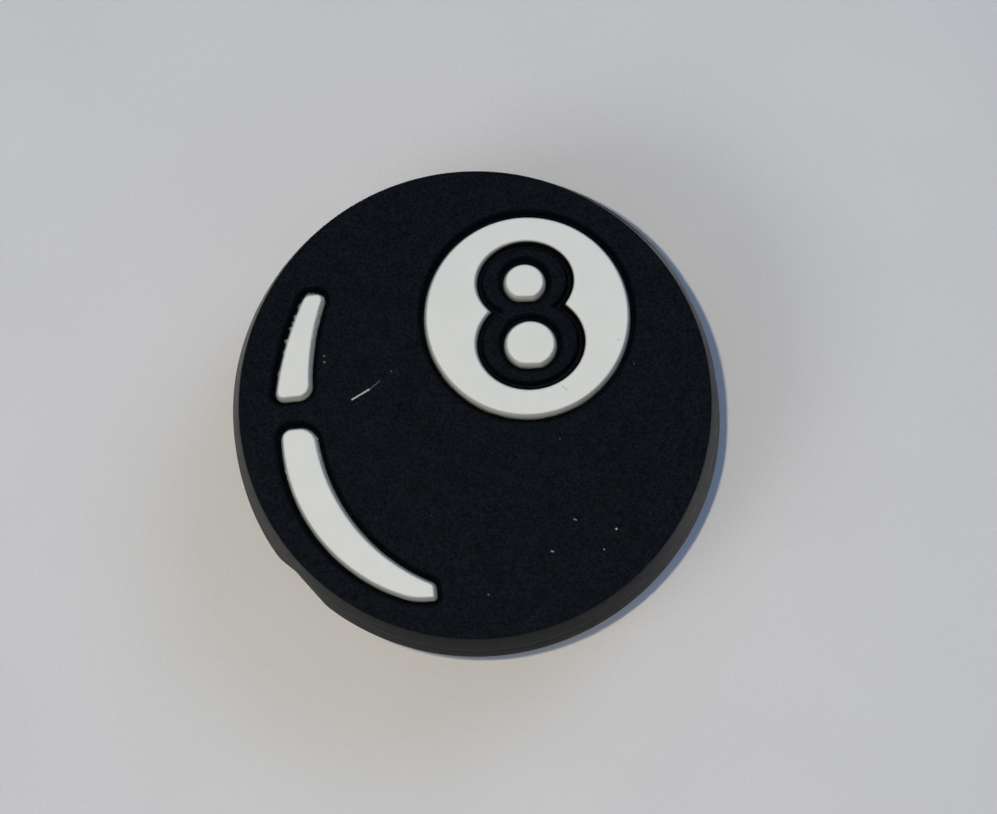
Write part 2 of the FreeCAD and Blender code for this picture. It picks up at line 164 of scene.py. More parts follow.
# the flash's colour: painted shade, for the flash lying low in the grooves
FLASH_SHADE_COLOUR = (0.150, 0.155, 0.150)
# tongues of flash on the highlights: x, y, half width along the edge, and reach
UPPER_FLASH = (
    (-10.98, 2.80, 0.20, 0.10),
    (-10.59, 4.02, 0.12, 0.08),
    (-10.37, 4.62, 0.13, 0.20),
    (-10.07, 5.33, 0.10, 0.16),
    (-9.92, 5.66, 0.09, 0.12),
    (-9.77, 5.98, 0.13, 0.14),
    (-9.46, 6.58, 0.18, 0.13),
    (-9.05, 7.20, 0.09, 0.16),
    (-8.88, 7.20, 0.08, 0.16),
    (-8.68, 7.20, 0.10, 0.14),
    (-8.45, 7.18, 0.06, 0.06),
    (-8.06, 6.98, 0.09, 0.26),
    (-8.47, 5.92, 0.10, 0.12),
    (-8.70, 5.22, 0.10, 0.10),
    (-8.84, 4.74, 0.08, 0.12),
)
LOWER_FLASH = (
    (-9.20, -1.15, 0.14, 0.15),
    (-9.17, -1.60, 0.15, 0.12),
    (-9.09, -2.10, 0.18, 0.07),
    (-11.05, -2.86, 0.14, 0.10),
    (-10.97, -3.30, 0.10, 0.08),
    (-10.78, -4.10, 0.20, 0.06),
)

# colours, from the darker tone to the lighter one
FACE_COLOURS = ((0.0022, 0.0050, 0.0096), (0.0062, 0.0096, 0.0156))
GRAIN_COLOUR = (0.0004, 0.0010, 0.0024)
DUST_COLOUR = (0.12, 0.13, 0.14)
WHITE_COLOURS = ((0.700, 0.722, 0.712), (0.752, 0.770, 0.758))
# the black of the film and the creep on the white walls, partly painted shade in the grooves
FILM_AND_SHADE_COLOUR = (0.0035, 0.0042, 0.0052)
# the walls' black, lighter than the face's: painted sheen of the walls seen edge-on
WALL_SHEEN_COLOURS = ((0.015, 0.015, 0.0155), (0.017, 0.017, 0.0175))
STUD_COLOURS = ((0.016, 0.0165, 0.017), (0.02, 0.02, 0.021))
FLOOR_COLOURS = ((0.700, 0.701, 0.715), (0.750, 0.751, 0.766))
SURROUND_COLOURS = ((0.02, 0.022, 0.025), (0.132, 0.178, 0.238))

# roughness, from and to, and specular levels
FACE_ROUGHNESS = (0.62, 0.74)
WHITE_ROUGHNESS = (0.45, 0.56)
WALL_ROUGHNESS = (0.50, 0.58)
STUD_ROUGHNESS = (0.38, 0.46)
FLOOR_ROUGHNESS = 0.7
FACE_SPECULAR = 0.06
WHITE_SPECULAR = 0.25
WALL_SPECULAR = 0.18
FLOOR_SPECULAR = 0.2

# how far out the film of black and painted shade in the roundel's opening is looked for
FILM_AND_SHADE_REACH = 4.8
# most of a noise lies between these two
NOISE_RANGE = (0.3, 0.7)

# painted shade and added roughness on the walls below the 8: where, the shade's tone, the
# roughness
SHADED_SIDE_TOWARDS = math.radians(-87)
WALL_SHADE_COLOUR = (0.0060, 0.0060, 0.0064)
DULL_ROUGHNESS = 0.19
# how much smoother the walls are on the far side
POLISHED = 0.13

# slow unevenness of the moulded face
WAVE_HEIGHT = 0.012
WAVE_LENGTH = 3.5


def flat_vector(x, y):
    """A point in the plane of the disc."""
    return Vector((x, y))


def soft_min(a, b, blend):
    """The smaller of two lengths, with the corner between them rounded."""
    return (a + b - math.hypot(a - b, blend)) / 2


def soft_max(a, b, blend):
    """The larger of two lengths, with the corner between them rounded."""
    return (a + b + math.hypot(a - b, blend)) / 2


def turns(count):
    """That many directions, evenly round the circle, in radians."""
    return [2 * math.pi * step / count for step in range(count)]


def oval_outline(centre, half_wide, half_high, turn=0.0, flat=0.0):
    """An oval, turned about its centre. With flat, a straight edge takes that off its bottom."""

    def outline(grow):
        points = []
        for way in turns(OVAL_POINTS):
            across, up = math.cos(way), math.sin(way)
            reach = 1 / math.hypot(across / (half_wide + grow), up / (half_high + grow))
            if flat and up < 0:
                reach = soft_min(reach, (half_high + grow - flat) / -up, FLAT_BLEND)
            points.append(centre + reach * flat_vector(math.cos(way + turn), math.sin(way + turn)))
        return points

    return outline


def roundel_outline():
    """The roundel's outline at the face. The box of its node is that of its wider foot."""
    low, high = (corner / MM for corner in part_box("number_roundel"))
    half_wide, half_high = (high.x - low.x) / 2 - WHITE_LEAN, (high.y - low.y) / 2 - WHITE_LEAN
    return oval_outline((low.xy + high.xy) / 2, half_wide, half_high)


def island_outline(which):
    """The outline of one island of the 8, hung from the top of the box of its node."""
    low, high = (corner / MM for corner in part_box(f"{which}_counter"))
    half_wide, half_high = ISLANDS[which]
    foot_wide, foot_high = half_wide + WHITE_LEAN, half_high + WHITE_LEAN
    rise = math.hypot(foot_wide * math.sin(ISLAND_TURN), foot_high * math.cos(ISLAND_TURN))
    centre = flat_vector((low.x + high.x) / 2, high.y - rise)
    return oval_outline(centre, half_wide, half_high, ISLAND_TURN, ISLAND_FLAT)


def way_out(start, direction, centre, half_wide, half_high):
    """How far it is from a point inside an oval to its edge, in one direction."""
    along = flat_vector(direction.x / half_wide, direction.y / half_high)
    offset = flat_vector((start.x - centre.x) / half_wide, (start.y - centre.y) / half_high)
    b = along.dot(offset)
    return (math.sqrt(b * b - along.dot(along) * (offset.dot(offset) - 1)) - b) / along.dot(along)


def eight_outline(blend):
    """The outline of the 8: two overlapping ovals, as seen from the middle of its waist."""
    low, high = (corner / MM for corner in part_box("digit_eight"))
    x = (low.x + high.x) / 2
    lower_wide = (high.x - low.x) / 2 - OPENING_FOOT
    lower = flat_vector(x, low.y + OPENING_FOOT + EIGHT_LOWER_HIGH)
    upper = flat_vector(x, high.y - OPENING_FOOT - EIGHT_UPPER_HIGH)
    waist = flat_vector(x, (upper.y - EIGHT_UPPER_HIGH + lower.y + EIGHT_LOWER_HIGH) / 2)

    def outline(grow):
        points = []
        for turn in turns(EIGHT_POINTS):
            way = flat_vector(math.cos(turn), math.sin(turn))
            upper_half = (EIGHT_UPPER_WIDE + grow, EIGHT_UPPER_HIGH + grow)
            lower_half = (lower_wide + grow, EIGHT_LOWER_HIGH + grow)
            to_upper = way_out(waist, way, upper, *upper_half)
            to_lower = way_out(waist, way, lower, *lower_half)
            points.append(waist + soft_max(to_upper, to_lower, blend) * way)
        return points

    return outline


def angle_of(vector):
    """The direction of a flat vector, in radians from 0 up to a whole turn."""
    return math.atan2(vector.y, vector.x) % (2 * math.pi)


def arc(centre, radius, first, last, steps):
    """Points along an arc from one direction to another, without its last point."""
    points = []
    for step in range(steps):
        turn = first + (last - first) * step / steps
        points.append(centre + radius * flat_vector(math.cos(turn), math.sin(turn)))
    return points


def straight(start, end, steps):
    """Points along a straight stretch, without its last point."""
    return [start.lerp(end, step / steps) for step in range(steps)]


def beside(centre, radius, x=None, y=None):
    """Where a circle crosses a level line on its left, or an upright line at its bottom."""
    if x is None:
        return flat_vector(centre.x - math.sqrt(radius**2 - (y - centre.y) ** 2), y)
    return flat_vector(x, centre.y - math.sqrt(radius**2 - (x - centre.x) ** 2))


class Straight:
    """A level or upright edge of an outline, at one place on the axis that it faces along."""

    def __init__(self, facing, place):
        self.turn = math.radians(facing % 360)
        self.out = flat_vector(round(math.cos(self.turn)), round(math.sin(self.turn)))
        self.place = place
        self.steps = END_STEPS

    def line(self, inset):
        """The axis and the place of the same line, moved in."""
        if self.out.x:
            return {"x": self.place - inset * self.out.x}
        return {"y": self.place - inset * self.out.y}

    def facing(self, corner):
        """The direction in which the edge faces."""
        return self.turn

    def stretch(self, first, last, first_radius, last_radius, grow):
        """The points of the edge between its two corners."""
        return straight(first + first_radius * self.out, last + last_radius * self.out, self.steps)


class Curved:
    """A long arc of an outline. It bulges out, or is hollow where the plastic is outside it."""

    def __init__(self, x, y, radius, hollow=False):
        self.centre = flat_vector(x, y)
        self.radius = radius
        self.side = -1 if hollow else 1

    def circle(self, inset):
        """The radius of the same arc, moved in."""
        return self.radius - self.side * inset

    def facing(self, corner):
        """The direction in which the edge faces where it meets a corner."""
        return angle_of(self.side * (corner - self.centre))

    def stretch(self, first, last, first_radius, last_radius, grow):
        """The points of the edge between its two corners."""
        leaves, arrives = angle_of(first - self.centre), angle_of(last - self.centre)
        return arc(self.centre, self.circle(-grow), leaves, arrives, ARC_STEPS)


def corner_centre(first, second, inset):
    """The centre of the corner between two edges, which is as far in from the one as the other."""
    if isinstance(first, Straight) and isinstance(second, Straight):
        lines = {**first.line(inset), **second.line(inset)}
        return flat_vector(lines["x"], lines["y"])
    if isinstance(first, Straight):
        first, second = second, first
    return beside(first.centre, first.circle(inset), **second.line(inset))


def rounded_outline(edges, corners):
    """An anticlockwise outline. Each corner's radius is that between an edge and the next one."""
    following = edges[1:] + edges[:1]

    def outline(grow):
        radii = [max(corner + grow, LEAST_CORNER) for corner in corners]
        centres = [
            corner_centre(edge, after, radius - grow)
            for edge, after, radius in zip(edges, following, radii)
        ]
        points = []
        for n, (edge, after) in enumerate(zip(edges, following)):
            points += edge.stretch(centres[n - 1], centres[n], radii[n - 1], radii[n], grow)
            leaves, arrives = edge.facing(centres[n]), after.facing(centres[n])
            if arrives < leaves:
                arrives += 2 * math.pi
            points += arc(centres[n], radii[n], leaves, arrives, CORNER_STEPS)
        return points

    return outline


def upper_highlight_outline():
    """The upper highlight, whose two ends are level."""
    edges = [
        Straight(90, 7.10),
        Curved(7.05, -2.19, 18.62),
        Straight(-90, 1.37),
        Curved(4.85, 1.14, 14.24, hollow=True),
    ]
    return rounded_outline(edges, (0.4, 0.3, 0.65, 0.25))


def lower_highlight_outline():
    """The lower highlight: a level top end, a bend to a level lower edge, an upright right end."""
    edges = [
        Straight(90, -0.56),
        Curved(-1.13, -1.38, 9.94),
        Straight(-90, -10.785),
        Straight(0, -3.33),
        Curved(1.585, -0.39, 10.90, hollow=True),
    ]
    return rounded_outline(edges, (0.5, 3.8, 0.04, 0.3, 0.85))


def round_outline(count):
    """Circles about the disc's axis. Here the growth is the circle's whole radius."""
    return lambda grow: [
        grow * flat_vector(math.cos(turn), math.sin(turn)) for turn in turns(count)
    ]


def rim_radius(height):
    """The radius of the disc's drafted side wall at a height."""
    return SPLIT_RADIUS - RIM_LEAN * (height - SPLIT)


def turn_between(first, second):
    """How far one turn is from another, from minus to plus half a turn."""
    return (second - first + math.pi) % (2 * math.pi) - math.pi


def nicked_outline(grow):
    """The back layer's rim at a given radius, not quite round and nicked at the lower left."""
    across = rim_radius(BACK) - NICK_DEPTH
    points = []
    for turn in turns(RIM_POINTS):
        reach = grow
        for middle, out, span in RIM_SWELLS:
            aside = abs(turn_between(math.radians(middle), turn)) / math.radians(span)
            reach += out * math.cos(math.pi / 2 * min(aside, 1)) ** 2
        off = turn_between(NICK_TURN, turn)
        if abs(off) < math.pi / 4:
            lean = 0.0 if off > 0 else NICK_DEPTH / NICK_STEEP
            nick = across / (math.cos(off) + lean * math.sin(off))
            reach = soft_min(reach, nick, NICK_BLEND)
        points.append(reach * flat_vector(math.cos(turn), math.sin(turn)))
    return points


def lip(edge, lean, side):
    """Up a drafted wall from a groove's floor, and over its rounded lip onto the face.

    side is 1 where the plastic is inside the outline and -1 where it is outside.
    """
    slope = math.atan2(lean, GROOVE_DEPTH)
    middle = LIP * (math.tan(slope) - 1 / math.cos(slope))
    profile = [(edge + side * lean, FLOOR), (edge + side * lean / 2, (FLOOR + FACE) / 2)]
    for step in range(LIP_STEPS + 1):
        turn = slope + (math.pi / 2 - slope) * step / LIP_STEPS
        grow = middle + LIP * math.cos(turn)
        profile.append((edge + side * grow, FACE - LIP + LIP * math.sin(turn)))
    profile.append((edge + side * (middle - LIP), FACE))
    return profile


def corner_arc(centre, radius, first, last, steps=4):
    """Part of a profile: (radius, height) pairs round a corner, from one direction to another."""
    profile = []
    for step in range(steps + 1):
        turn = math.radians(first + (last - first) * step / steps)
        profile.append((centre[0] + radius * math.cos(turn), centre[1] + radius * math.sin(turn)))
    return profile


def flash_share(height):
    """How far a tongue of flash reaches at a height: all of it a little below the face."""
    below = FACE - height
    if below > FLASH_DROP:
        return max(0.0, 1 - (below - FLASH_DROP) / FLASH_DROP)
    return max(0.0, 1 - ((FLASH_DROP - below) / FLASH_THICK) ** 2)


def pushed_out(ring, flash, share):
    """An anticlockwise ring, with its points moved out where there is flash."""
    pushed = []
    for before, point, after in zip(ring[-1:] + ring[:-1], ring, ring[1:] + ring[:1]):
        along = (after - before).normalized()
        out = flat_vector(along.y, -along.x)
        reach = sum(
            tall * math.exp(-(((point - flat_vector(x, y)).length / wide) ** 2))
            for x, y, wide, tall in flash
        )
        pushed.append(point + share * reach * out)
    return pushed


class Moulding:
    """A mesh in the making, with its points in millimetres."""

    def __init__(self, name):
        self.name = name
        self.points = []
        self.faces = []

    def ring(self, points, height):
        """Add one ring of points and return their numbers."""
        first = len(self.points)
        self.points += [Vector((p.x, p.y, height)) for p in points]
        return list(range(first, len(self.points)))

    def wall(self, outline, profile, flash=()):
        """Join rings along a profile, and return the first and the last ring.

        Flash is a thin ragged film of plastic on the edge: (x, y, width, reach) of each tongue.
        """
        rings = []
        for grow, height in profile:
            ring = outline(grow)
            if flash:
                ring = pushed_out(ring, flash, flash_share(height))
            rings.append(self.ring(ring, height))
        for low, high in zip(rings, rings[1:]):
            following = low[1:] + low[:1]
            above = high[1:] + high[:1]
            self.faces += [(a, b, d, c) for a, b, c, d in zip(low, following, high, above)]
        return rings[0], rings[-1]

    def cap(self, rings, spacing=None):
        """Close the area inside the first ring and outside the others.

        With spacing, points in between keep the area from being a few long triangles.
        """
        height = self.points[rings[0][0]].z
        numbers = [n for ring in rings for n in ring]
        loops, first = [], 0
        for ring in rings:
            loops.append(list(range(first, first + len(ring))))
            first += len(ring)
        flat = [self.points[n].xy for n in numbers]
        if spacing:
            flat += self.points_between(flat, spacing)
        made = delaunay_2d_cdt(flat, [], loops, 1, 1e-7)
        places, triangles, sources, inside = made[0], made[2], made[3], made[5]
        used = {}
        for triangle, loops_round_it in zip(triangles, inside):
            if loops_round_it != [0]:
                continue
            for n in triangle:
                if n in used:
                    continue
                source = sources[n][0]
                if source < len(numbers):
                    used[n] = numbers[source]
                else:
                    used[n] = len(self.points)
                    self.points.append(Vector((places[n].x, places[n].y, height)))
            self.faces.append(tuple(used[n] for n in triangle))

    def points_between(self, flat, spacing):
        """A staggered grid over the area, kept clear of the points that it already has."""
        tree = kdtree.KDTree(len(flat))
        for n, p in enumerate(flat):
            tree.insert((p.x, p.y, 0), n)
        tree.balance()
        low = flat_vector(min(p.x for p in flat), min(p.y for p in flat))
        high = flat_vector(max(p.x for p in flat), max(p.y for p in flat))
        rise = spacing * math.sqrt(3) / 2
        points = []
        for row in range(int((high.y - low.y) / rise)):
            for column in range(int((high.x - low.x) / spacing)):
                x = low.x + (column + row % 2 / 2) * spacing
                y = low.y + row * rise
                if tree.find((x, y, 0))[2] > spacing / 2:
                    points.append(flat_vector(x, y))
        return points

    def make(self, material, uneven=False, wall=None):
        """Turn it into a smooth-shaded object in metres that stands for its CAD node.

        With wall, that material covers the disc's outer side wall.
        """
        mesh = bpy.data.meshes.new(self.name)
        for p in self.points:
            if uneven and p.z > FLOOR:
                share = (p.z - FLOOR) / GROOVE_DEPTH
                wave = noise.noise(Vector((p.x, p.y, 0)) / WAVE_LENGTH)
                p.z += share * WAVE_HEIGHT * (wave - 1)
        mesh.from_pydata([p * MM for p in self.points], [], self.faces)
        shape = bmesh.new()
        shape.from_mesh(mesh)
        bmesh.ops.recalc_face_normals(shape, faces=shape.faces)
        shape.to_mesh(mesh)
        shape.free()
        mesh.shade_smooth()
        mesh.set_sharp_from_angle(angle=math.radians(40))
        piece = bpy.data.objects.new(self.name + "_moulding", mesh)
        bpy.context.scene.collection.objects.link(piece)
        weighted = piece.modifiers.new("even_shading", "WEIGHTED_NORMAL")
        weighted.keep_sharp = True
        mesh.materials.append(material)
        if wall:
            mesh.materials.append(wall)
            for polygon in mesh.polygons:
                outside = polygon.center.xy.length > (rim_radius(FACE) - LIP / 2) * MM
                polygon.material_index = int(outside)
        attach(piece, "root")
        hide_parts(self.name)


def build_white_piece(node, outline, material, flash=()):
    """A white inlay without an opening: its foot, its drafted wall, its lip and its face."""
    piece = Moulding(node)
    foot = WHITE_LEAN - SEAT_GAP
    rise = lip(0, WHITE_LEAN, 1)
    if flash:
        rise[2:2] = [
            (WHITE_LEAN * drop / GROOVE_DEPTH, FACE - drop)
            for drop in (2 * FLASH_DROP, 1.4 * FLASH_DROP, FLASH_DROP, 0.8 * FLASH_DROP)
        ]
        rise.sort(key=lambda step: step[1])
    bottom, top = piece.wall(outline, [(foot, SEAT), (foot, FLOOR - FOOT_DROP)] + rise, flash)
    piece.cap([bottom])
    piece.cap([top], CAP_SPACING)
    piece.make(material, uneven=True)


def build_roundel(outline, opening, material):
    """The white roundel, with its opening in the form of an 8."""
    piece = Moulding("number_roundel")
    foot = WHITE_LEAN - SEAT_GAP
    rise = lip(0, WHITE_LEAN, 1)
    bottom, top = piece.wall(outline, [(foot, SEAT), (foot, FLOOR - FOOT_DROP)] + rise)
    down = lip(GROOVE_WIDTH, WHITE_LEAN, -1)[::-1]
    edge, hole = piece.wall(opening, down + [(OPENING_FOOT, SEAT)])
    piece.cap([bottom, hole])
    piece.cap([top, edge], CAP_SPACING)
    piece.make(material, uneven=True)


def build_digit(outline, islands, material):
    """The black 8, with a foot that fills the roundel's opening and a seat for each island."""
    piece = Moulding("digit_eight")
    foot = OPENING_FOOT - SEAT_GAP
    step = [(foot, SEAT), (foot, FLOOR), ((foot + BLACK_LEAN) / 2, FLOOR - FLOOR_SAG / 2)]
    bottom, top = piece.wall(outline, step + lip(0, BLACK_LEAN, 1))
    caps, seats = [top], [bottom]
    for island in islands:
        edge, seat = piece.wall(island, pocket_profile())
        caps.append(edge)
        seats.append(seat)
    piece.cap(seats)
    piece.cap(caps, CAP_SPACING / 2)
    piece.make(material, uneven=True)


def pocket_profile():
    """Down into a black pocket: the lip, the groove's wall and dished floor, and the seat."""
    down = lip(GROOVE_WIDTH, BLACK_LEAN, -1)[::-1]
    middle = (GROOVE_WIDTH - BLACK_LEAN + WHITE_LEAN) / 2
    return down + [(middle, FLOOR - FLOOR_SAG), (WHITE_LEAN, FLOOR), (WHITE_LEAN, SEAT)]


def build_front_layer(outlines, material, wall):
    """The black front of the disc, with a pocket for each white inlay."""
    piece = Moulding("black_body")
    middle = rim_radius(FACE) - LIP
    profile = corner_arc((rim_radius(SPLIT) - SEAM_EDGE, SPLIT + SEAM_EDGE), SEAM_EDGE, -90, 0)
    for share in (0.25, 0.5, 0.75):
        height = SPLIT + share * (FACE - SPLIT)
        profile.append((rim_radius(height), height))
    profile += corner_arc((middle, FACE - LIP), LIP, math.degrees(RIM_LEAN), 90, LIP_STEPS)
    profile.append((middle - LIP, FACE))
    bottom, top = piece.wall(round_outline(RIM_POINTS), profile)
    edges = [top]
    for outline in outlines:
        edge, seat = piece.wall(outline, pocket_profile())
        piece.cap([seat])
        edges.append(edge)
    piece.cap([bottom])
    piece.cap(edges, CAP_SPACING)
    piece.make(material, uneven=True, wall=wall)


def build_back_layer(material):
    """The black back of the disc: its rounded rim, the neck's hole and the anchor's recess."""
    piece = Moulding("backing_layer")
    wide = rim_radius(BACK)
    profile = [(wide - 2 * BACK_EDGE, BACK)]
    profile += corner_arc((wide - BACK_EDGE, BACK + BACK_EDGE), BACK_EDGE, -90, 0, 6)
    profile += corner_arc((rim_radius(SPLIT) - SEAM_EDGE, SPLIT - SEAM_EDGE), SEAM_EDGE, 0, 90)
    bottom, top = piece.wall(nicked_outline, profile)
    seat = SPLIT - ANCHOR_THICKNESS
    bore = [(ANCHOR, SPLIT), (ANCHOR, seat), (NECK, seat), (NECK, BACK + LIP)]
    bore += [(NECK + LIP, BACK), (NECK + 3 * LIP, BACK)]
    recess, hole = piece.wall(round_outline(STUD_POINTS), bore)
    piece.cap([bottom, hole], 2 * CAP_SPACING)
    piece.cap([top, recess])
    piece.make(material)


def build_stud(material):
    """The stud: a button with rounded edges and a gate dimple, a neck, and the anchor flange."""
    piece = Moulding("shoe_stud")
    edge = BUTTON - BUTTON_EDGE
    dimple_lip = DIMPLE_DEPTH / 2
    gate_lip = GATE_DEPTH / 2
    profile = [(GATE_INNER, DIMPLE_DEPTH - GATE_DEPTH)]
    profile += corner_arc((GATE, DIMPLE_DEPTH - gate_lip), gate_lip, -180, -270)
    profile.append((DIMPLE - DIMPLE_DEPTH, DIMPLE_DEPTH))
    profile += corner_arc((DIMPLE + dimple_lip, dimple_lip), dimple_lip, 180, 270)
    profile += corner_arc((edge, BUTTON_EDGE), BUTTON_EDGE, -90, 0, 8)
    profile += corner_arc((edge, BUTTON_TOP - BUTTON_EDGE), BUTTON_EDGE, 0, 90, 8)
    profile += corner_arc((NECK + NECK_FILLET, BUTTON_TOP + NECK_FILLET), NECK_FILLET, 270, 180)
    seat = SPLIT - ANCHOR_THICKNESS
    profile += [(NECK, BACK - 0.5), (NECK, seat), (ANCHOR, seat), (ANCHOR, SPLIT)]
    bottom, top = piece.wall(round_outline(STUD_POINTS), profile)
    piece.cap([bottom])
    piece.cap([top])
    piece.make(material)


def add_node(tree, kind, inputs=None, **settings):
    """Add a shader node, set it up, and join or set its inputs."""
    made = tree.nodes.new("ShaderNode" + kind)
    for name, value in settings.items():
        setattr(made, name, value)
    for key, value in (inputs or {}).items():
        if isinstance(value, bpy.types.NodeSocket):
            tree.links.new(value, made.inputs[key])
        else:
            made.inputs[key].default_value = value
    return made


def new_material(name):
    """A material, its node tree, its shader, and coordinates in millimetres on the object."""
    material = bpy.data.materials.new(name)
    material.use_nodes = True
    tree = material.node_tree
    shader = tree.nodes["Principled BSDF"]
    place = add_node(tree, "TexCoord").outputs["Object"]
    scaled = add_node(tree, "VectorMath", {0: place, "Scale": 1 / MM}, operation="SCALE")
    return material, tree, shader, scaled.outputs[0]


def noise_value(tree, place, scale, detail, roughness=0.55):
    """A noise from 0 to 1, with so many waves to the millimetre."""
    inputs = {"Vector": place, "Scale": scale, "Detail": detail, "Roughness": roughness}
    return add_node(tree, "TexNoise", inputs).outputs[0]


def ramp(tree, value, low, high, to_low=0.0, to_high=1.0):
    """A value stretched from one range to another, and kept inside it."""
    inputs = {0: value, 1: low, 2: high, 3: to_low, 4: to_high}
    return add_node(tree, "MapRange", inputs).outputs[0]


def stretched_noise(tree, place, scale, detail, roughness=0.55, to_low=0.0, to_high=1.0):
    """A noise with its contrast raised, from one value to another."""
    noise_here = noise_value(tree, place, scale, detail, roughness)
    return ramp(tree, noise_here, *NOISE_RANGE, to_low, to_high)


def calculate(tree, operation, *values):
    """Simple arithmetic on values."""
    return add_node(tree, "Math", dict(enumerate(values)), operation=operation).outputs[0]


def blend_colour(tree, share, first, second):
    """A colour between two, where share is 0 for the first."""
    made = add_node(tree, "Mix", {0: share}, data_type="RGBA")
    for socket, value in ((made.inputs[6], first), (made.inputs[7], second)):
        if isinstance(value, bpy.types.NodeSocket):
            tree.links.new(value, socket)
        else:
            socket.default_value = (*value, 1)
    return made.outputs[2]


def bump(tree, height, size, strength):
    """A normal roughened by a height from 0 to 1, that stands for so many millimetres."""
    inputs = {"Height": height, "Distance": size * MM, "Strength": strength}
    return add_node(tree, "Bump", inputs).outputs[0]


def specks(tree, place, per_mm, radius, share):
    """Sparse round specks: 1 inside a speck and 0 outside."""
    cells = add_node(tree, "TexVoronoi", {"Vector": place, "Scale": per_mm})
    split = add_node(tree, "SeparateColor", {0: cells.outputs["Color"]})
    chosen = calculate(tree, "LESS_THAN", split.outputs[0], share)
    size = calculate(tree, "MULTIPLY", split.outputs[1], radius * per_mm)
    inside = calculate(tree, "LESS_THAN", cells.outputs["Distance"], size)
    return calculate(tree, "MULTIPLY", chosen, inside)


def streak(tree, place, start, end, half_wide):
    """A short straight mark on the face: 1 along its middle and 0 beyond its width."""
    start, end = Vector((*start, FACE)), Vector((*end, FACE))
    along = end - start
    offset = add_node(tree, "VectorMath", {0: place, 1: start}, operation="SUBTRACT").outputs[0]
    share = {0: offset, 1: along / along.length_squared}
    share = add_node(tree, "VectorMath", share, operation="DOT_PRODUCT").outputs["Value"]
    share = ramp(tree, share, 0.0, 1.0)
    foot = add_node(tree, "VectorMath", {0: along, "Scale": share}, operation="SCALE").outputs[0]
    away = add_node(tree, "VectorMath", {0: offset, 1: foot}, operation="SUBTRACT").outputs[0]
    away = add_node(tree, "VectorMath", {0: away}, operation="LENGTH").outputs["Value"]
    return ramp(tree, away, half_wide, half_wide / 2)


def out_from(tree, place, x, y):
    """The distance from an upright axis."""
    split = add_node(tree, "SeparateXYZ", {0: place})
    across = calculate(tree, "SUBTRACT", split.outputs[0], x)
    along = calculate(tree, "SUBTRACT", split.outputs[1], y)
    square = calculate(tree, "MULTIPLY", across, across)
    square = calculate(tree, "MULTIPLY_ADD", along, along, square)
    return calculate(tree, "SQRT", square)


def height_of(tree, place):
    """The height above the floor, in millimetres."""
    return add_node(tree, "SeparateXYZ", {0: place}).outputs[2]


def set_surface(tree, shader, colour, rough, normal, specular):
    """Join a shader to its colour, its roughness and its normal, and set its specular level."""
    tree.links.new(colour, shader.inputs["Base Color"])
    tree.links.new(rough, shader.inputs["Roughness"])
    tree.links.new(normal, shader.inputs["Normal"])
    shader.inputs["Specular IOR Level"].default_value = specular


def black_plastic():
    """Matte black soft plastic of the face: fine grain, white dust and a bit of lint."""
    material, tree, shader, place = new_material("black_soft_plastic")
    mottle = stretched_noise(tree, place, 0.9, 6, 0.8)
    face = blend_colour(tree, mottle, *FACE_COLOURS)
    grain = ramp(tree, noise_value(tree, place, 7.0, 1), 0.34, 0.66)
    face = blend_colour(tree, grain, GRAIN_COLOUR, face)
    dust = specks(tree, place, 1.3, 0.05, 0.06)
    colour = blend_colour(tree, dust, face, DUST_COLOUR)
    for start, end, half_wide, tone in FACE_MARKS:
        mark = streak(tree, place, start, end, half_wide)
        colour = blend_colour(tree, mark, colour, (tone, tone, tone))
    rough = stretched_noise(tree, place, 2.0, 3, 0.55, *FACE_ROUGHNESS)
    normal = bump(tree, noise_value(tree, place, 7.0, 4, 0.6), 0.02, 0.8)
    set_surface(tree, shader, colour, rough, normal, FACE_SPECULAR)
    return material


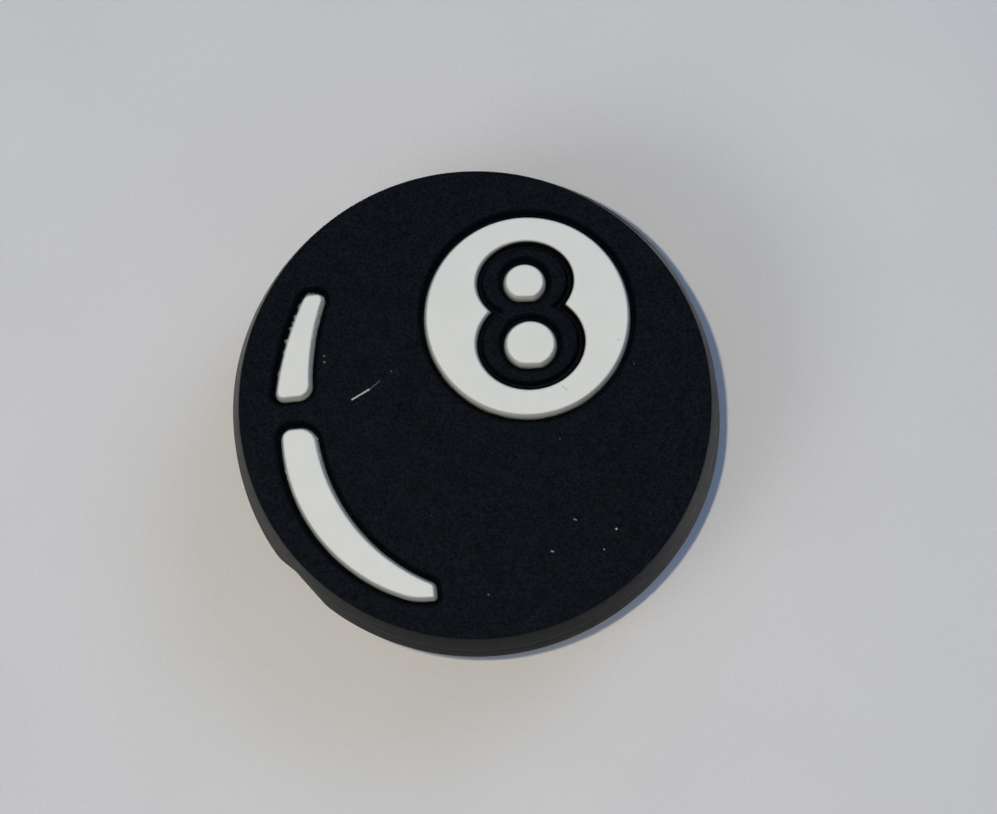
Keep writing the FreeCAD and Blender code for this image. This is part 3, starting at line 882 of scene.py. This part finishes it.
def white_plastic(name, opening=False):
    """White soft plastic, satin and slightly clouded.

    The black creeps up the foot of its walls, partly as painted shade in the grooves. The flash,
    which is all that faces up below the lips, is darkened as painted shade. With opening, a film
    of the black, partly painted shade of the narrow groove, also covers the walls of the roundel's
    opening, all but the lip, and less of it on the left.
    """
    material, tree, shader, place = new_material(name)
    cloud = stretched_noise(tree, place, 0.4, 9, 0.75)
    colour = blend_colour(tree, cloud, *WHITE_COLOURS)
    height = height_of(tree, place)
    # the black creeping up the foot of the walls, partly painted shade at the grooves' bottom
    creep_and_shade_top = stretched_noise(tree, place, 1.2, 3, 0.55, FLOOR - 0.02, FLOOR + 0.14)
    above = calculate(tree, "SUBTRACT", height, creep_and_shade_top)
    film_and_shade = ramp(tree, above, 0.05, -0.05)
    facing = add_node(tree, "NewGeometry").outputs["Normal"]
    facing = add_node(tree, "SeparateXYZ", {0: facing}).outputs
    # painted shade: all that faces up below the lips, which is the flash, is darkened
    below_lip = ramp(tree, height, FACE - 0.18, FACE - 0.24)
    shaded_flash = calculate(tree, "MULTIPLY", ramp(tree, facing[2], 0.3, 0.6), below_lip)
    colour = blend_colour(tree, shaded_flash, colour, FLASH_SHADE_COLOUR)
    if opening:
        # a film of black on the opening's walls, partly painted shade of the narrow groove, less
        # where walls face right
        left = facing[0]
        edge = ramp(tree, left, 0.1, 0.9, FACE - 0.05, FACE - 0.25)
        soft = ramp(tree, left, -0.2, 0.9, 0.22, 0.42)
        out = out_from(tree, place, *ROUNDEL_CENTRE)
        inside = calculate(tree, "LESS_THAN", out, FILM_AND_SHADE_REACH)
        below = calculate(tree, "DIVIDE", calculate(tree, "SUBTRACT", edge, height), soft)
        opening_film_and_shade = calculate(tree, "MULTIPLY", inside, ramp(tree, below, 0.0, 1.0))
        film_and_shade = calculate(tree, "MAXIMUM", film_and_shade, opening_film_and_shade)
        for start, end, half_wide, tone in ROUNDEL_MARKS:
            mark = streak(tree, place, start, end, half_wide)
            colour = blend_colour(tree, mark, colour, (tone, tone * 0.93, tone * 0.85))
    colour = blend_colour(tree, film_and_shade, colour, FILM_AND_SHADE_COLOUR)
    rough = stretched_noise(tree, place, 3.0, 3, 0.55, *WHITE_ROUGHNESS)
    normal = bump(tree, noise_value(tree, place, 6.0, 3), 0.006, 0.6)
    set_surface(tree, shader, colour, rough, normal, WHITE_SPECULAR)
    return material


def wall_plastic(name, colours, roughness):
    """Satin black plastic of the walls and the back, with painted shade and more roughness below
    the 8.
    """
    material, tree, shader, place = new_material(name)
    facing = add_node(tree, "NewGeometry").outputs["True Normal"]
    down = {0: facing, 1: (math.cos(SHADED_SIDE_TOWARDS), math.sin(SHADED_SIDE_TOWARDS), 0.0)}
    down = add_node(tree, "VectorMath", down, operation="DOT_PRODUCT").outputs["Value"]
    shaded_side = ramp(tree, down, 0.55, 0.95)
    flow = stretched_noise(tree, place, 0.35, 5, 0.6)
    colour = blend_colour(tree, flow, *colours)
    # painted shade: the walls are darker on the side that faces below the 8
    colour = blend_colour(tree, shaded_side, colour, WALL_SHADE_COLOUR)
    rough = stretched_noise(tree, place, 1.5, 3, 0.55, *roughness)
    rough = calculate(tree, "MULTIPLY_ADD", shaded_side, DULL_ROUGHNESS, rough)
    polished = ramp(tree, down, 0.1, -0.5)
    rough = calculate(tree, "MULTIPLY_ADD", polished, -POLISHED, rough)
    normal = bump(tree, noise_value(tree, place, 5.0, 4), 0.012, 0.6)
    set_surface(tree, shader, colour, rough, normal, WALL_SPECULAR)
    return material


def build_floor():
    """A plain pale floor, large enough for every view."""
    size = 2.0
    mesh = bpy.data.meshes.new("floor")
    corners = [(-size, -size, 0), (size, -size, 0), (size, size, 0), (-size, size, 0)]
    mesh.from_pydata(corners, [], [(0, 1, 2, 3)])
    floor = bpy.data.objects.new("floor", mesh)
    bpy.context.scene.collection.objects.link(floor)
    material, tree, shader, place = new_material("pale_floor")
    wide = stretched_noise(tree, place, 0.08, 2)
    fine = stretched_noise(tree, place, 4.0, 2)
    tone = calculate(tree, "MULTIPLY_ADD", wide, 0.5, calculate(tree, "MULTIPLY", fine, 0.5))
    colour = blend_colour(tree, tone, *FLOOR_COLOURS)
    tree.links.new(colour, shader.inputs["Base Color"])
    shader.inputs["Roughness"].default_value = FLOOR_ROUGHNESS
    shader.inputs["Specular IOR Level"].default_value = FLOOR_SPECULAR
    mesh.materials.append(material)


# the camera and the lights
CAMERA_TILT = math.radians(8.45)
CAMERA_TOWARDS = math.radians(-84.4)
CAMERA_DISTANCE = 165.0
PICTURE_TURN = math.radians(5.4)
PICTURE_WIDTH = 997
MM_PER_PIXEL = 0.05697
AIM_RIGHT = 1.352
AIM_DOWN = 0.254
SENSOR = 36.0

# the lamp beside the lens: how far to the right and up, its size, power and colour
LAMP_RIGHT = -11.8
LAMP_UP = 5.2
LAMP_SIZE = 4
LAMP_POWER = 0.135
LAMP_COLOUR = (1.0, 0.88, 0.655)
# the softboxes: how far to the right and up in the picture, power and colour
SOFTBOXES = {
    "left_softbox": (-320, -220, 0.60, (1.0, 0.98, 1.0)),
    "right_softbox": (260, 300, 0.63, (0.465, 0.61, 1.0)),
}
SOFTBOX_HEIGHT = 420
SOFTBOX_SIZE = 260
# how high up the surround reaches its upper tone, as a share of a whole upward look
SURROUND_REACH = 0.6

RIGHT = Vector((math.cos(PICTURE_TURN), -math.sin(PICTURE_TURN), 0))
UP = Vector((math.sin(PICTURE_TURN), math.cos(PICTURE_TURN), 0))


def look(place, target, up):
    """The matrix of something that stands at a place, looks at a target, and keeps up upright."""
    back = (place - target).normalized()
    right = up.cross(back).normalized()
    turned = Matrix((right, back.cross(right), back)).transposed()
    return Matrix.Translation(place * MM) @ turned.to_4x4()


def build_camera():
    """The camera at the photograph's viewing angle."""
    away = Vector((math.cos(CAMERA_TOWARDS), math.sin(CAMERA_TOWARDS), 0))
    view = math.sin(CAMERA_TILT) * away + math.cos(CAMERA_TILT) * Vector((0, 0, 1))
    face = Vector((0, 0, FACE))
    place = face + CAMERA_DISTANCE * view
    data = bpy.data.cameras.new("camera")
    data.sensor_width = SENSOR
    data.lens = SENSOR * CAMERA_DISTANCE / (MM_PER_PIXEL * PICTURE_WIDTH)
    data.clip_start = 0.01
    camera = bpy.data.objects.new("camera", data)
    bpy.context.scene.collection.objects.link(camera)
    camera.matrix_world = look(place, face + AIM_RIGHT * RIGHT - AIM_DOWN * UP, UP)
    bpy.context.scene.camera = camera
    return place


def area_light(name, place, size, power, colour):
    """A square soft light that looks at the disc."""
    data = bpy.data.lights.new(name, "AREA")
    data.size = size * MM
    data.energy = power
    data.color = colour
    light = bpy.data.objects.new(name, data)
    bpy.context.scene.collection.objects.link(light)
    light.matrix_world = look(place, Vector((0, 0, FACE)), Vector((0, 1, 0.1)))


def build_lights(camera_place):
    """A small warm lamp beside the lens, two large soft lights and a pale surround."""
    lamp = camera_place + LAMP_RIGHT * RIGHT + LAMP_UP * UP
    area_light("lens_lamp", lamp, LAMP_SIZE, LAMP_POWER, LAMP_COLOUR)
    for name, (right, up, power, colour) in SOFTBOXES.items():
        place = right * RIGHT + up * UP + Vector((0, 0, SOFTBOX_HEIGHT))
        area_light(name, place, SOFTBOX_SIZE, power, colour)
    world = bpy.data.worlds.new("surround")
    world.use_nodes = True
    tree = world.node_tree
    direction = add_node(tree, "TexCoord").outputs["Generated"]
    height = add_node(tree, "SeparateXYZ", {0: direction}).outputs[2]
    share = ramp(tree, height, 0.0, SURROUND_REACH)
    colour = blend_colour(tree, share, *SURROUND_COLOURS)
    tree.links.new(colour, tree.nodes["Background"].inputs["Color"])
    bpy.context.scene.world = world


def build_charm():
    """Every piece of the charm."""
    black, white = black_plastic(), white_plastic("white_soft_plastic")
    pierced = white_plastic("white_roundel_plastic", opening=True)
    wall = wall_plastic("black_wall_plastic", WALL_SHEEN_COLOURS, WALL_ROUGHNESS)
    back = wall_plastic("black_back_plastic", WALL_SHEEN_COLOURS, WALL_ROUGHNESS)
    stud = wall_plastic("black_stud_plastic", STUD_COLOURS, STUD_ROUGHNESS)
    roundel = roundel_outline()
    islands = {which: island_outline(which) for which in ISLANDS}
    upper, lower = upper_highlight_outline(), lower_highlight_outline()
    build_front_layer([roundel, upper, lower], black, wall)
    build_roundel(roundel, eight_outline(OPENING_WAIST), pierced)
    build_digit(eight_outline(DIGIT_WAIST), islands.values(), black)
    for which, island in islands.items():
        build_white_piece(f"{which}_counter", island, white)
    build_white_piece("upper_highlight", upper, white, UPPER_FLASH)
    build_white_piece("lower_highlight", lower, white, LOWER_FLASH)
    build_back_layer(back)
    build_stud(stud)


bpy.context.scene.view_settings.view_transform = "Standard"
build_charm()
build_floor()
build_lights(build_camera())
